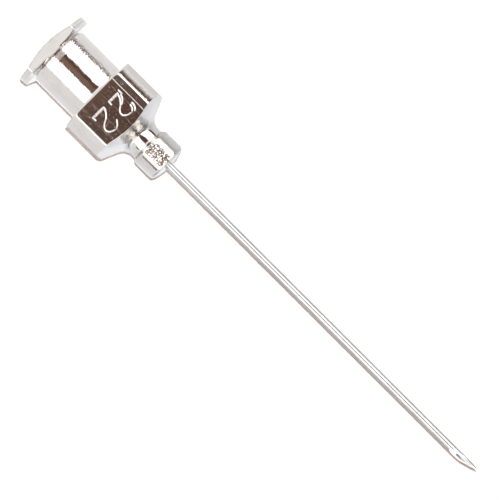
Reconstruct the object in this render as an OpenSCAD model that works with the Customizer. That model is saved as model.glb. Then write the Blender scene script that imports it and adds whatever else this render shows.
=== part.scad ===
// Reusable Luer-lock needle: a turned and milled metal hub with a stainless tube crimped into it.
// The needle lies along X: mouth of the Luer socket at the origin, point towards +X.
// The numbered flat of the hub faces +Z, and the flat behind it is the one the needle rests on.

/* [Luer end] */
// Diameter of the socket at its mouth
socket_mouth_d = 4.27; // [4.2:0.01:4.4]
// Taper of the socket, in percent of its length, on the diameter
socket_taper = 6; // [5:0.5:7]
// Depth of the tapered socket
socket_depth = 8.5; // [7.5:0.1:9.5]
// Full angle of the drill point that closes the socket
drill_point_angle = 118; // [100:1:135]
// Chamfer at the mouth of the socket
mouth_chamfer = 0.08; // [0.02:0.01:0.15]
// Flat ring around the mouth
mouth_land = 0.34; // [0.04:0.01:0.5]
// Diameter over the two locking lugs
lug_d = 7.8; // [7.4:0.05:8.4]
// Length of the straight rim of a lug
lug_rim = 0.36; // [0.2:0.02:0.5]
// Slope of the front of a lug, from square to the axis
lug_front_angle = 20; // [10:1:24]
// Slope of the crest behind the rim, from the axis
lug_crest_angle = 6; // [2:1:20]
// Slope of the back of a lug, from square to the axis
lug_back_angle = 24; // [18:1:28]
// How far the axis of a lug's back is set off towards the lug, so that its ends are thinner
lug_back_shift = 1.25; // [1:0.05:1.8]
// Distance from the mouth to where the back of a lug meets the barrel
lug_root = 1.62; // [1.5:0.02:1.8]
// Distance across the two flats that part the lugs
lug_flats = 5.7; // [5.3:0.05:6.5]
// Length of these flats from the mouth, to just inside the barrel
lug_flats_len = 1.25; // [1.2:0.01:1.4]

/* [Barrel and block] */
// Diameter of the barrel
barrel_d = 6; // [5.6:0.05:6.6]
// Fillet between the barrel and the shoulder of the block
barrel_fillet = 0.25; // [0.1:0.05:0.5]
// Distance from the mouth to the shoulder of the block
shoulder_at = 6.4; // [5:0.05:8]
// Distance across the four flats of the block
block_flats = 7.8; // [7.2:0.05:8.6]
// Diameter of the bar, left at the four corners of the block
block_corner_d = 9.4; // [9:0.05:10.4]
// Length of the block at its corners
block_len = 3.9; // [2.5:0.05:6]
// Round along the shoulder's edge at the corners of the block
shoulder_round = 0.25; // [0.1:0.05:0.5]
// Round along the shoulder's edge at the flats
flats_round = 0.08; // [0.04:0.01:0.3]
// Width of the broken long edges of the block
edge_break = 0.17; // [0.05:0.01:0.4]
// Slope of the cone under the block, from square to the axis
cone_angle = 24; // [15:1:45]

/* [Neck and boss] */
// Diameter of the neck
neck_d = 3.3; // [2.6:0.05:3.6]
// Fillet between the cone and the neck
neck_fillet = 1.2; // [0.5:0.05:1.6]
// Straight length of the neck
neck_len = 0.35; // [0.1:0.05:2]
// Diameter of the crimped boss
boss_d = 3.9; // [3.7:0.05:4.6]
// Length of the boss, with its domed end
boss_len = 2.7; // [1.6:0.1:5]
// Round along both edges of the boss
boss_round = 0.35; // [0.1:0.05:0.5]
// Height of the dome on the boss's end
boss_dome = 0.25; // [0.1:0.05:0.5]

/* [Cannula] */
// Outer diameter of the tube
cannula_od = 0.72; // [0.5:0.01:1.1]
// Bore of the tube
cannula_id = 0.41; // [0.2:0.01:0.45]
// Length of tube that stands out of the boss
cannula_reach = 38.6; // [12:0.1:80]
// Radial room between the tube and its seat in the hub
seat_clearance = 0.01; // [0.005:0.005:0.03]
// How far the tube's inner end lies below the bottom of the socket
seat_recess = 0.2; // [0.1:0.05:1]

/* [Point] */
// Angle of the main bevel to the axis
bevel_angle = 13; // [9:1:30]
// Angle of the two side facets to the axis
lancet_angle = 17; // [15:1:34]
// Turn of each side facet about the axis, from the main bevel
lancet_turn = 35; // [25:1:45]
// How far the side facets shorten the point of the main bevel
point_setback = 0.02; // [0.01:0.005:0.05]
// Turn of the whole point about the axis, from facing up
bevel_roll = 33; // [-180:1:180]

/* [Hidden] */
$fn = 96;
// Overlap of solids that are fused, and overrun of cutters
lap = 0.05;

mouth_r = socket_mouth_d / 2;
socket_end_r = mouth_r - socket_taper / 100 * socket_depth / 2;
seat_r = cannula_od / 2 + seat_clearance;
funnel_end = socket_depth + (socket_end_r - seat_r) / tan(drill_point_angle / 2);

land_r = mouth_r + mouth_chamfer + mouth_land;
lug_r = lug_d / 2;
barrel_r = barrel_d / 2;
rim_start = (lug_r - land_r) * tan(lug_front_angle);
rim_end = rim_start + lug_rim;
crest_r = lug_r - (lug_root - rim_end) * tan(lug_crest_angle);
// The barrel runs a little into the block
barrel_end = shoulder_at + lap;

corner_r = block_corner_d / 2;
block_half = block_flats / 2;
block_end = shoulder_at + block_len;
// A broken edge faces halfway between its flat and the round of the bar
edge_turn = acos(block_half / corner_r) / 2;
edge_plane = corner_r * cos(edge_turn) - edge_break / 2 * tan(edge_turn);

neck_r = neck_d / 2;
// Centre of the fillet, which touches the cone and the neck
fillet_r = neck_r + neck_fillet;
fillet_x = block_end + (neck_fillet + (corner_r - fillet_r) * sin(cone_angle)) / cos(cone_angle);
// Where the fillet leaves the cone
tangent_r = fillet_r - neck_fillet * sin(cone_angle);
tangent_x = fillet_x - neck_fillet * cos(cone_angle);

boss_r = boss_d / 2;
boss_start = fillet_x + neck_len;
boss_end = boss_start + boss_len;
// Length of the bars that shape the block, to just past the neck
bar_len = boss_start + 2 * lap - shoulder_at;
// The dome springs from the inner edge of the boss's end round
dome_base_r = boss_r - boss_round;
dome_r = (pow(dome_base_r, 2) + pow(boss_dome, 2)) / (2 * boss_dome);

tube_r = cannula_od / 2;
bore_r = cannula_id / 2;
tube_start = funnel_end + seat_recess;
tip_at = boss_end + cannula_reach;

// Turns a shape made around Z so that it lies along X
module along_x() {
    rotate([0, 90, 0]) children();
}

// Solid of revolution around X, from an outline of radius against distance along the axis
module turned() {
    along_x() rotate_extrude() children();
}

// What a round of radius r takes off an outer corner at the origin, into the first quadrant
module corner_cut(r) {
    translate([-lap, -lap]) difference() {
        square(r + lap);
        translate([r + lap, r + lap]) circle(r);
    }
}

// Rectangle in the first quadrant with the corner at the end of its first side rounded
module bar_section(width, length, r) {
    difference() {
        square([width, length]);
        translate([width, 0]) mirror([1, 0]) corner_cut(r);
    }
}

// Backs of the two lugs: cones whose axes are set off towards the lugs
module lug_backs() {
    root_r = barrel_r - lug_back_shift;
    outer_r = norm([lug_r, lug_back_shift]);
    slope = tan(lug_back_angle);
    for (side = [-1, 1])
        translate([0, side * lug_back_shift, 0]) turned() polygon([
            [0, -lap], [outer_r, -lap], [outer_r, lug_root - (outer_r - root_r) * slope],
            [0, lug_root + root_r * slope],
        ]);
}

// Outline of the barrel with its fillet, which runs just into the shoulder
module barrel_outline() {
    fillet_at = shoulder_at - barrel_fillet + lap / 5;
    foot_r = barrel_r + barrel_fillet;
    difference() {
        polygon([
            [0, -lap], [barrel_r, -lap], [barrel_r, fillet_at], [foot_r, fillet_at],
            [foot_r, barrel_end + lap], [0, barrel_end + lap],
        ]);
        translate([foot_r, fillet_at]) circle(barrel_fillet);
    }
}

// Flange at the mouth, cut back to its lugs, and the barrel behind it
module flange_and_barrel() {
    intersection() {
        turned() polygon([
            [0, 0], [land_r, 0], [lug_r, rim_start], [lug_r, rim_end],
            [crest_r, lug_root], [crest_r, barrel_end], [0, barrel_end],
        ]);
        difference() {
            union() {
                lug_backs();
                turned() barrel_outline();
            }
            lug_flat_cuts();
        }
    }
}

// The two flats that part the flange into locking lugs
module lug_flat_cuts() {
    for (side = [0, 1])
        mirror([0, 0, side]) translate([-lap, -lug_d, lug_flats / 2])
            cube([lap + lug_flats_len, 2 * lug_d, lug_d]);
}

// One pair of the block's flats, as a slab from its rounded shoulder to past the neck
module flats_slab() {
    along_x() translate([0, 0, shoulder_at]) rotate([90, 0, 0])
        linear_extrude(block_corner_d, center = true)
            for (side = [0, 1])
                mirror([side, 0]) translate([-lap, 0])
                    bar_section(block_half + lap, bar_len, flats_round);
}

// Square bars, turned to either side of the flats, that break the block's long edges
module edge_bars() {
    intersection_for (side = [-1, 1])
        translate([shoulder_at - lap, 0, 0]) rotate([side * edge_turn, 0, 0])
            translate([0, -edge_plane, -edge_plane])
                cube([bar_len + lap, 2 * edge_plane, 2 * edge_plane]);
}

// Outline of the bar, the cone, its fillet and the neck, down to the boss
module block_outline() {
    difference() {
        polygon([
            [0, shoulder_at], [corner_r, shoulder_at], [corner_r, block_end], [tangent_r, tangent_x],
            [fillet_r, fillet_x], [neck_r, fillet_x], [neck_r, boss_start + lap], [0, boss_start + lap],
        ]);
        translate([corner_r, shoulder_at]) mirror([1, 0]) corner_cut(shoulder_round);
        translate([fillet_r, fillet_x]) circle(neck_fillet);
    }
}

// Round bar with four milled flats, coned down and filleted into the neck
module block() {
    intersection() {
        turned() block_outline();
        flats_slab();
        rotate([90, 0, 0]) flats_slab();
        edge_bars();
    }
}

// Boss that is crimped on the tube, with round edges and a domed end
module boss() {
    turned() translate([0, boss_start]) {
        difference() {
            bar_section(boss_r, boss_len - boss_dome, boss_round);
            translate([boss_r, boss_len - boss_dome]) mirror([1, 0]) mirror([0, 1])
                corner_cut(boss_round);
        }
        intersection() {
            translate([0, boss_len - dome_r]) circle(dome_r);
            translate([0, boss_len - boss_dome - lap]) square([dome_base_r, boss_dome + 2 * lap]);
        }
    }
}

// Tapered socket, its drill point and the seat of the tube
module fluid_path() {
    mouth_out_r = mouth_r + mouth_chamfer;
    mouth_in_r = mouth_r - socket_taper / 100 * mouth_chamfer / 2;
    turned() polygon([
        [0, -lap], [mouth_out_r + lap, -lap], [mouth_in_r, mouth_chamfer],
        [socket_end_r, socket_depth], [seat_r, funnel_end],
        [seat_r, boss_end + lap], [0, boss_end + lap],
    ]);
}

module hub() {
    color("gainsboro") difference() {
        union() {
            flange_and_barrel();
            block();
            boss();
        }
        fluid_path();
    }
}

// Half space above a plane that meets the tube's lowest line at the point and rises backwards
module grind(angle, turn, setback) {
    reach = 2 * cannula_od / sin(angle);
    translate([tip_at - setback, 0, 0]) rotate([turn, 0, 0])
        translate([0, 0, -tube_r * cos(turn)]) rotate([0, angle, 0])
            translate([-reach, -cannula_od, 0]) cube([2 * reach, 2 * cannula_od, 2 * cannula_od]);
}

module cannula() {
    tube_len = tip_at - tube_start;
    color("silver") rotate([bevel_roll, 0, 0]) difference() {
        translate([tube_start, 0, 0]) along_x() cylinder(r = tube_r, h = tube_len);
        translate([tube_start - lap, 0, 0]) along_x() cylinder(r = bore_r, h = tube_len + 2 * lap);
        grind(bevel_angle, 0, 0);
        for (side = [-1, 1]) grind(lancet_angle, side * lancet_turn, point_setback);
    }
}

hub();
cannula();
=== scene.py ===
"""Dispensing needle: a plated Luer-lock hub with a numbered flat, crimped on a ground steel tube.

The needle lies along X with the mouth of its socket at the origin and its point towards +X.
Sizes are in millimetres, and a mesh is turned into metres when it is made.
"""

import logging
import math
from collections.abc import Sequence
from dataclasses import dataclass, field
from enum import Enum
from typing import Any

import bmesh
import bpy
import numpy as np
from mathutils import Matrix, Vector


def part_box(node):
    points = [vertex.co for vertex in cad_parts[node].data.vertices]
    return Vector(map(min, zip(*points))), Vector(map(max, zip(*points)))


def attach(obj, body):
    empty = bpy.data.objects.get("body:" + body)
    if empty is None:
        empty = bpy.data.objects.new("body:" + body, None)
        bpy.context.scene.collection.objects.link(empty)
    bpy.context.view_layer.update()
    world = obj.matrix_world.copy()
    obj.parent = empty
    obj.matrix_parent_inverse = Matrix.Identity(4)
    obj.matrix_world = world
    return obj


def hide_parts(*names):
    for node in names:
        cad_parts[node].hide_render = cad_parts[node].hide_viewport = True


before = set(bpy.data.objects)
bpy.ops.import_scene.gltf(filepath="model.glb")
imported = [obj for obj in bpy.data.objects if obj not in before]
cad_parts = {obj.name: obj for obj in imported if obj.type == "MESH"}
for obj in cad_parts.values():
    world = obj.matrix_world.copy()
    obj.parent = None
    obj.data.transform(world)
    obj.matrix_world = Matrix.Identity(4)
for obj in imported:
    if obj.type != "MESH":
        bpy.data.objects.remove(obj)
log = logging.getLogger("needle")

MM = 0.001
MICRON = 1e-6
Point = tuple[float, float]
Colour = tuple[float, float, float]
Array = np.ndarray
Ring = tuple[float, Array]
Socket = bpy.types.NodeSocket
Inputs = dict[str | int, Any]
WHITE: Colour = (1.0, 1.0, 1.0)
BLACK: Colour = (0.0, 0.0, 0.0)
UNLIT: Colour = (0.13, 0.07, 0.055)


class Term:
    """A number on a node's socket, so that sums and products of such numbers read as Python."""

    def __init__(self, graph: "NodeGraph", socket: Socket) -> None:
        """Keeps the tree that the number belongs to and the socket that carries it."""
        self.graph = graph
        self.socket = socket

    def __add__(self, other: "Term | float") -> "Term":
        """Sum of two numbers."""
        return self.graph.math("ADD", self, other)

    __radd__ = __add__

    def __sub__(self, other: "Term | float") -> "Term":
        """Difference of two numbers."""
        return self.graph.math("SUBTRACT", self, other)

    def __rsub__(self, other: float) -> "Term":
        """Difference of a plain number and this one."""
        return self.graph.math("SUBTRACT", other, self)

    def __mul__(self, other: "Term | float") -> "Term":
        """Product of two numbers."""
        return self.graph.math("MULTIPLY", self, other)

    __rmul__ = __mul__

    def __truediv__(self, other: "Term | float") -> "Term":
        """Quotient of two numbers."""
        return self.graph.math("DIVIDE", self, other)

    def __pow__(self, power: float) -> "Term":
        """This number raised to a power."""
        return self.graph.math("POWER", self, power)

    def least(self, other: "Term | float") -> "Term":
        """The smaller of two numbers."""
        return self.graph.math("MINIMUM", self, other)

    def most(self, other: "Term | float") -> "Term":
        """The larger of two numbers."""
        return self.graph.math("MAXIMUM", self, other)

    def above(self, edge: float, ramp: float) -> "Term":
        """0 below an edge and 1 above it, with a straight ramp of the given width between."""
        return ((self - edge) / ramp + 0.5).most(0.0).least(1.0)

    def between(self, low: float, high: float, ramp: float) -> "Term":
        """1 between two edges and 0 outside them, with a ramp at both."""
        return self.above(low, ramp) * (1.0 - self.above(high, ramp))


class NodeGraph:
    """A node tree of any kind, with one way to add a node to it."""

    def __init__(self, tree: bpy.types.NodeTree) -> None:
        """Takes a tree and empties it."""
        self.tree = tree
        tree.nodes.clear()

    def node(self, kind: str, inputs: Inputs | None = None, **settings: Any) -> bpy.types.Node:
        """Adds a node.

        Args:
            kind: The node's type.
            inputs: Values or links of its sockets, by name or number.
            settings: Values of its own properties, set first.

        Returns:
            The new node.
        """
        made = self.tree.nodes.new(kind)
        for name, value in settings.items():
            setattr(made, name, value)
        for key, value in (inputs or {}).items():
            self.feed(made.inputs[key], value)
        return made

    def out(self, kind: str, inputs: Inputs | None = None, **settings: Any) -> Socket:
        """Adds a node and returns its first output."""
        return self.node(kind, inputs, **settings).outputs[0]

    def feed(self, socket: Socket, value: Any) -> None:
        """Links a socket to a number or another socket, or sets its own value.

        Args:
            socket: The input.
            value: What it gets.
        """
        if isinstance(value, Term):
            value = value.socket
        if isinstance(value, Socket):
            self.tree.links.new(value, socket)
        else:
            socket.default_value = value

    def math(self, operation: str, first: Term | float, second: Term | float) -> Term:
        """Adds a Math node and returns its number."""
        return Term(self, self.out("ShaderNodeMath", {0: first, 1: second}, operation=operation))

    def term(self, node: bpy.types.Node, output: str | int = 0) -> Term:
        """The number that leaves a node's output."""
        return Term(self, node.outputs[output])

    def place(self) -> Socket:
        """Where on an object, in millimetres."""
        place = self.node("ShaderNodeTexCoord").outputs["Object"]
        return self.vector("MULTIPLY", place, (1 / MM, 1 / MM, 1 / MM))

    def parts(self, vector: Socket) -> tuple[Term, Term, Term]:
        """The three parts of a vector."""
        split = self.node("ShaderNodeSeparateXYZ", {0: vector})
        return tuple(self.term(split, axis) for axis in "XYZ")

    def attribute(self, name: str) -> Term:
        """The number that a piece's mesh stores under a name."""
        return self.term(self.node("ShaderNodeAttribute", attribute_name=name), "Fac")

    def swayed(self, normal: Socket, place: Socket, sway: Term) -> Socket:
        """Tilts a surface around the X axis.

        Args:
            normal: The surface's normal.
            place: Where on the surface.
            sway: Tangent of the tilt.

        Returns:
            The tilted normal.
        """
        around = self.vector("CROSS_PRODUCT", (1.0, 0.0, 0.0), place)
        around = self.vector("NORMALIZE", around)
        side = self.stretched(around, sway)
        return self.vector("NORMALIZE", self.vector("ADD", normal, side))

    def stretched(self, vector: Socket, factor: Term) -> Socket:
        """A vector made longer or shorter by a number."""
        return self.out("ShaderNodeVectorMath", {0: vector, "Scale": factor}, operation="SCALE")

    def vector(self, operation: str, *values: Any) -> Socket:
        """Adds a Vector Math node and returns its vector."""
        return self.out("ShaderNodeVectorMath", dict(enumerate(values)), operation=operation)

    def mixed(self, share: Term, first: "Colour | Socket", second: "Colour | Socket") -> Socket:
        """A colour between two others, each written down or from a socket.

        Args:
            share: Share of the second colour.
            first: One colour.
            second: The other colour.

        Returns:
            The socket that carries the mixed colour.
        """
        first, second = ((*side, 1.0) if isinstance(side, tuple) else side for side in (first, second))
        made = self.node("ShaderNodeMix", {0: share, 6: first, 7: second}, data_type="RGBA")
        return made.outputs[2]


@dataclass(frozen=True)
class Grain:
    """Smooth noise over a piece, by its turns in a millimetre each way, its detail and its seed."""

    scale: tuple[float, float, float]
    detail: float
    seed: float

    def on(self, graph: NodeGraph, place: Socket) -> Term:
        """The noise at a place, from 0 to 1 around 0.5.

        Args:
            graph: The tree that it is made in.
            place: Where on the piece, in millimetres.

        Returns:
            The noise there.
        """
        spot = graph.vector("MULTIPLY", place, self.scale)
        values = {"Vector": spot, "W": self.seed, "Scale": 1.0, "Detail": self.detail}
        return graph.term(graph.node("ShaderNodeTexNoise", values, noise_dimensions="4D"))


@dataclass(frozen=True)
class Marks:
    """What marks a metal's surface, from place to place.

    Its height is in micrometres, and its sway is the tangent of a tilt around the needle's axis.
    The dullness adds to the roughness, and the grime_and_shade share, from 0 to 1, mixes in soiling and,
    on the hub, painted shade and painted reflection.
    """

    height: Term
    sway: Term
    dull: Term
    grime_and_shade: Term


@dataclass(frozen=True)
class MetalFinish:
    """What the two metals share: a bright base with fine marks in relief."""

    name: str
    colour: Colour
    stain: Colour
    roughness: float
    # Dark colour for soiling, and on the hub also for painted shade and painted reflection.
    dirt_and_shade: Colour = (0.1, 0.062, 0.042)
    cloud: Grain = Grain((0.7, 0.9, 0.9), 3.0, 4.0)

    def material(self) -> bpy.types.Material:
        """Makes the material.

        Returns:
            A material with the marks of this finish.
        """
        made = bpy.data.materials.new(self.name)
        made.use_nodes = True
        graph = NodeGraph(made.node_tree)
        place = graph.place()
        marks = self.marks(graph, place)
        bump = graph.out("ShaderNodeBump", {"Strength": 1.0, "Distance": MICRON, "Height": marks.height})
        stained = self.cloud.on(graph, place).above(0.55, 0.3)
        metal = graph.mixed(stained, self.colour, self.stain)
        shader = graph.out(
            "ShaderNodeBsdfPrincipled",
            {
                # Base colour darkened by soiling and, on the hub, by painted shade and painted
                # reflection.
                "Base Color": graph.mixed(marks.grime_and_shade, metal, self.dirt_and_shade),
                "Metallic": 1.0,
                "Roughness": self.roughness + marks.dull,
                "Normal": graph.swayed(bump, place, marks.sway),
            },
        )
        graph.node("ShaderNodeOutputMaterial", {"Surface": shader})
        return made

    def marks(self, graph: NodeGraph, place: Socket) -> Marks:
        """Marks of the finish.

        Args:
            graph: The material's tree.
            place: Where on the piece, in millimetres.

        Returns:
            The marks at that place.
        """
        raise NotImplementedError


class PlatedPlace:
    """A place on the hub: the stretches it lies on, as shares from 0 to 1, and the noises there."""

    def __init__(self, plate: "NickelPlate", graph: NodeGraph, place: Socket) -> None:
        """Works out the shares and the noises.

        Args:
            plate: The finish, which has the stretches' ends.
            graph: The material's tree.
            place: Where on the hub, in millimetres.
        """
        x, y, z = graph.parts(place)
        self.x, self.y = x, y
        self.radius = (y * y + z * z) ** 0.5
        self.milled = graph.attribute(Zone.MILLED.value)
        self.soiled = graph.attribute(Zone.SOILED.value)
        self.turned = 1.0 - self.milled
        self.cone = x.between(*plate.cone_span, plate.ramp) * self.turned
        self.neck = x.between(*plate.neck_span, 2 * plate.ramp)
        self.boss = x.above(plate.boss_start, plate.ramp)
        self.before_cone = 1.0 - x.above(plate.turned_end, plate.ramp)
        self.rings = plate.rings.on(graph, place)
        self.ragged = plate.ragged.on(graph, place) - 0.5
        self.streaks = plate.streaks.on(graph, place) - 0.5
        self.pebbles = plate.pebbles.on(graph, place) - 0.5
        self.lines = plate.lines.on(graph, place)
        self.grain = plate.grain.on(graph, place)
        self.fleck = plate.fleck.on(graph, place)
        self.dents = plate.dents.on(graph, place).above(0.68, 0.08)
        self.veins = plate.veins.on(graph, place).between(0.43, 0.55, 0.05)
        self.veins = self.veins * graph.attribute(Zone.CRIMPED.value)
        self.wander = y + plate.scratch_wander * plate.wander.on(graph, place)
        self.broken = plate.broken.on(graph, place).above(0.5, 0.12)


@dataclass(frozen=True)
class NickelPlate(MetalFinish):
    """Bright plating with lathe rings and mill lines, and painted shade and reflection in its colour.

    Stretches along the hub and places across it are in millimetres, heights and depths of marks in
    micrometres.
    """

    name: str = "nickel_plate"
    colour: Colour = (0.74, 0.72, 0.70)
    stain: Colour = (0.70, 0.675, 0.65)
    roughness: float = 0.04
    relief_end: float = 2.1
    barrel_end: float = 6.4
    turned_end: float = 10.2
    cone_span: Point = (10.35, 11.45)
    neck_span: Point = (11.6, 12.75)
    boss_start: float = 12.8
    ramp: float = 0.1
    chatter_side: Point = (1.75, 2.3)
    dull_from: float = 2.0
    boss_side_from: float = 1.16
    shaded_to: float = -1.1
    cone_front: Point = (-0.7, 0.9)
    cone_stripe: Point = (0.0, 0.28)
    rim_start_r: float = 2.555
    rim_slope: float = 0.364
    rim_span: Point = (0.04, 0.09)
    rim_end: float = 0.9
    scratches: tuple[float, ...] = (1.97, 1.43, 0.3, -0.86, -0.98, -1.75, -1.88)
    scratch_wander: float = 0.05
    scratch_spans: tuple[Point, Point] = ((0.0, 0.045), (0.01, 0.05))
    rings: Grain = Grain((9.0, 1.2, 1.2), 2.0, 1.0)
    lines: Grain = Grain((0.4, 15.0, 15.0), 3.0, 2.0)
    dents: Grain = Grain((7.0, 7.0, 7.0), 1.0, 3.0)
    ragged: Grain = Grain((11.0, 2.2, 2.2), 3.0, 6.0)
    broken: Grain = Grain((2.2, 3.0, 3.0), 2.0, 7.0)
    streaks: Grain = Grain((1.0, 7.0, 7.0), 2.0, 8.0)
    wander: Grain = Grain((0.5, 0.0, 0.0), 1.0, 9.0)
    fleck: Grain = Grain((7.0, 7.0, 7.0), 3.0, 11.0)
    grain: Grain = Grain((5.0, 11.0, 11.0), 2.0, 12.0)
    veins: Grain = Grain((3.3, 3.3, 3.3), 3.0, 14.0)
    pebbles: Grain = Grain((14.0, 9.0, 9.0), 2.0, 15.0)
    line_height: float = 0.25
    dent_depth: float = 0.9
    scratch_depth: float = 4.5
    ring_height: float = 0.15
    vein_depth: float = 8.0
    pebble_height: float = 1.2
    broken_share: float = 0.35
    ragged_sway: float = 0.1
    barrel_sway: float = 0.26
    block_calm: float = 0.14
    side_sway: float = 0.4
    streak_sway: float = 0.6
    line_dull: float = 0.035
    dent_dull: float = 0.1
    side_dull: float = 0.025
    cone_dull: float = 0.1
    boss_dull: float = 0.03
    worn_dull: float = 0.22
    # Shares of the dark mix: all but the vein and line shares are painted shade or painted reflection.
    shade_base: float = 0.35
    shade_fleck: float = 0.9
    vein_grime: float = 0.95
    cone_reflection: float = 0.28
    stripe_reflection: float = 0.18
    line_grime: float = 0.6
    boss_low_shade: float = 0.1
    neck_shade: float = 0.14
    rim_shade: float = 0.5

    def marks(self, graph: NodeGraph, place: Socket) -> Marks:
        """Rings and chatter of the lathe, and on the flats lines of the mill, scratches and dents."""
        at = PlatedPlace(self, graph, place)
        return Marks(self.relief(at), self.sway(at), self.dull(at), self.grime_and_shade(at))

    def relief(self, at: PlatedPlace) -> Term:
        """Height of the marks: milled lines, dents and scratches, lathe rings, veins and pebbles.

        Args:
            at: The place on the hub.

        Returns:
            The height in micrometres.
        """
        flats = at.milled * (self.line_height * at.lines - self.dent_depth * at.dents)
        height = flats - self.scratch_depth * self.scratched(at) + at.turned * self.ring_height * at.rings
        relieved = 1.0 - at.x.above(self.relief_end, 0.5)
        height = height - self.vein_depth * at.veins
        return height + relieved * at.turned * self.pebble_height * at.pebbles

    def sway(self, at: PlatedPlace) -> Term:
        """Chatter of the lathe, stronger on the barrel and along one side of it.

        Args:
            at: The place on the hub.

        Returns:
            The tangent of the tilt.
        """
        worked = self.barrel_sway - self.block_calm * at.x.above(self.barrel_end, self.ramp)
        worked = worked + self.side_sway * at.y.between(*self.chatter_side, self.ramp)
        chatter = self.ragged_sway * at.ragged + at.before_cone * worked * at.pebbles
        return at.turned * (chatter + at.cone * self.streak_sway * at.streaks)

    def dull(self, at: PlatedPlace) -> Term:
        """Added roughness of milled lines and dents, of the cone and of the boss, more on its rubbed
        side.

        Args:
            at: The place on the hub.

        Returns:
            What adds to the roughness.
        """
        flats = self.line_dull * at.lines.above(0.5, 0.3) + self.dent_dull * at.dents
        flats = flats + self.side_dull * at.y.above(self.dull_from, self.ramp)
        wear_and_shade = self.boss_dull + self.worn_dull * at.y.above(self.boss_side_from, self.ramp)
        return at.milled * flats + at.cone * self.cone_dull + at.boss * wear_and_shade

    def grime_and_shade(self, at: PlatedPlace) -> Term:
        """Share of the dark mix: painted shade, painted reflection and soiling in lines and veins.

        Args:
            at: The place on the hub.

        Returns:
            The share, from 0 to 1.
        """
        y = at.y
        # Painted shade in the stored zone, made ragged by flecks, plus soiling in the crimp's veins.
        shade_and_veins = at.soiled * (self.shade_base + self.shade_fleck * at.fleck.above(0.5, 0.35))
        shade_and_veins = shade_and_veins + self.vein_grime * at.veins
        # Painted reflection of the boss on the cone's front, with a darker stripe across it.
        on_cone = self.cone_reflection * y.between(*self.cone_front, 0.3)
        on_cone = on_cone + self.stripe_reflection * y.between(*self.cone_stripe, self.ramp)
        in_lines = at.milled * (self.line_grime * at.lines.above(0.47, 0.3) * at.grain)
        # Painted shade over the boss's -Y side.
        on_boss = self.boss_low_shade * at.boss * (1.0 - y.above(self.shaded_to, self.ramp))
        # Painted shade on the sides of the neck, the recess between cone and boss.
        on_neck = at.neck * (self.neck_shade * (y * y).above(1.15, 0.3))
        # Painted shade line along the front edge of the flange's flats, broken by flecks.
        on_rim = self.rim_line(at) * at.fleck.above(0.52, 0.2)
        share = shade_and_veins + at.cone * on_cone + in_lines + on_boss + on_neck + on_rim
        return share.most(0.0).least(1.0)

    def rim_line(self, at: PlatedPlace) -> Term:
        """Share of a painted shade line along the front edge of the flange's flats.

        Args:
            at: The place on the hub.

        Returns:
            The share of grime there.
        """
        ahead = at.x - self.rim_slope * (at.radius - self.rim_start_r)
        rim = self.rim_shade * ahead.between(*self.rim_span, 0.03)
        return rim * (1.0 - at.x.above(self.rim_end, self.ramp))

    def scratched(self, at: PlatedPlace) -> Term:
        """Long scratches across the front flat, the first one whole and the others broken.

        Args:
            at: The place on the hub.

        Returns:
            The share of a scratch's depth.
        """
        whole, fine = self.scratch_spans
        first, *others = self.scratches
        cut = at.wander.between(first + whole[0], first + whole[1], 0.02)
        for across in others:
            thin = at.wander.between(across + fine[0], across + fine[1], 0.02)
            cut = cut + self.broken_share * at.broken * thin
        return cut * at.milled


@dataclass(frozen=True)
class StainlessTube(MetalFinish):
    """Drawn steel tube with fine lines along it, and duller where its point is ground."""

    name: str = "stainless_tube"
    colour: Colour = (0.62, 0.62, 0.62)
    stain: Colour = (0.57, 0.56, 0.56)
    roughness: float = 0.2
    ground_from: float = 51.3
    lines: Grain = Grain((0.1, 9.0, 9.0), 2.0, 5.0)
    specks: Grain = Grain((6.0, 9.0, 9.0), 2.0, 13.0)
    line_height: float = 0.1
    line_sway: float = 0.07
    line_dull: float = 0.08
    ground_dull: float = 0.06
    speck_grime: float = 0.12

    def marks(self, graph: NodeGraph, place: Socket) -> Marks:
        """Drawing lines along the tube, and the dull ground point.

        Args:
            graph: The material's tree.
            place: Where on the tube, in millimetres.

        Returns:
            The marks at that place.
        """
        lines = self.lines.on(graph, place)
        specks = self.specks.on(graph, place).above(0.6, 0.2)
        ground = graph.parts(place)[0].above(self.ground_from, 0.3)
        return Marks(
            height=self.line_height * lines,
            sway=self.line_sway * (lines - 0.5),
            dull=self.line_dull * lines + self.ground_dull * ground,
            grime_and_shade=self.speck_grime * specks,
        )


def arc_points(centre: Point, radius: float, start: float, end: float, steps: int) -> list[Point]:
    """Points along an arc of an outline.

    Args:
        centre: Its centre, as distance along the axis and radius.
        radius: Its radius.
        start: Where it starts, in degrees from the +X direction towards larger radius.
        end: Where it ends.
        steps: How many straight pieces it has.

    Returns:
        Its points, both ends included.
    """
    turns = np.radians(np.linspace(start, end, steps + 1))
    return [(centre[0] + radius * math.cos(a), centre[1] + radius * math.sin(a)) for a in turns]


def rounded(points: Sequence[Point], radii: Sequence[float], steps: int = 4) -> list[Point]:
    """Rounds the corners of an open outline.

    Args:
        points: Its corners, with its two ends.
        radii: A radius for each corner between the ends.
        steps: Straight pieces in each round.

    Returns:
        The outline's points.
    """
    path = [Vector(points[0])]
    for before, corner, after, radius in zip(points, points[1:], points[2:], radii):
        corner = Vector(corner)
        back = (Vector(before) - corner).normalized()
        ahead = (Vector(after) - corner).normalized()
        half = back.angle(ahead) / 2
        centre = corner + (back + ahead).normalized() * (radius / math.sin(half))
        first = corner + back * (radius / math.tan(half)) - centre
        last = corner + ahead * (radius / math.tan(half)) - centre
        sweep = first.angle(last)
        for share in np.linspace(0.0, 1.0, steps + 1):
            blend = math.sin((1 - share) * sweep) * first + math.sin(share * sweep) * last
            path.append(centre + blend / math.sin(sweep))
    path.append(Vector(points[-1]))
    return [(p.x, p.y) for p in path]


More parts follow.
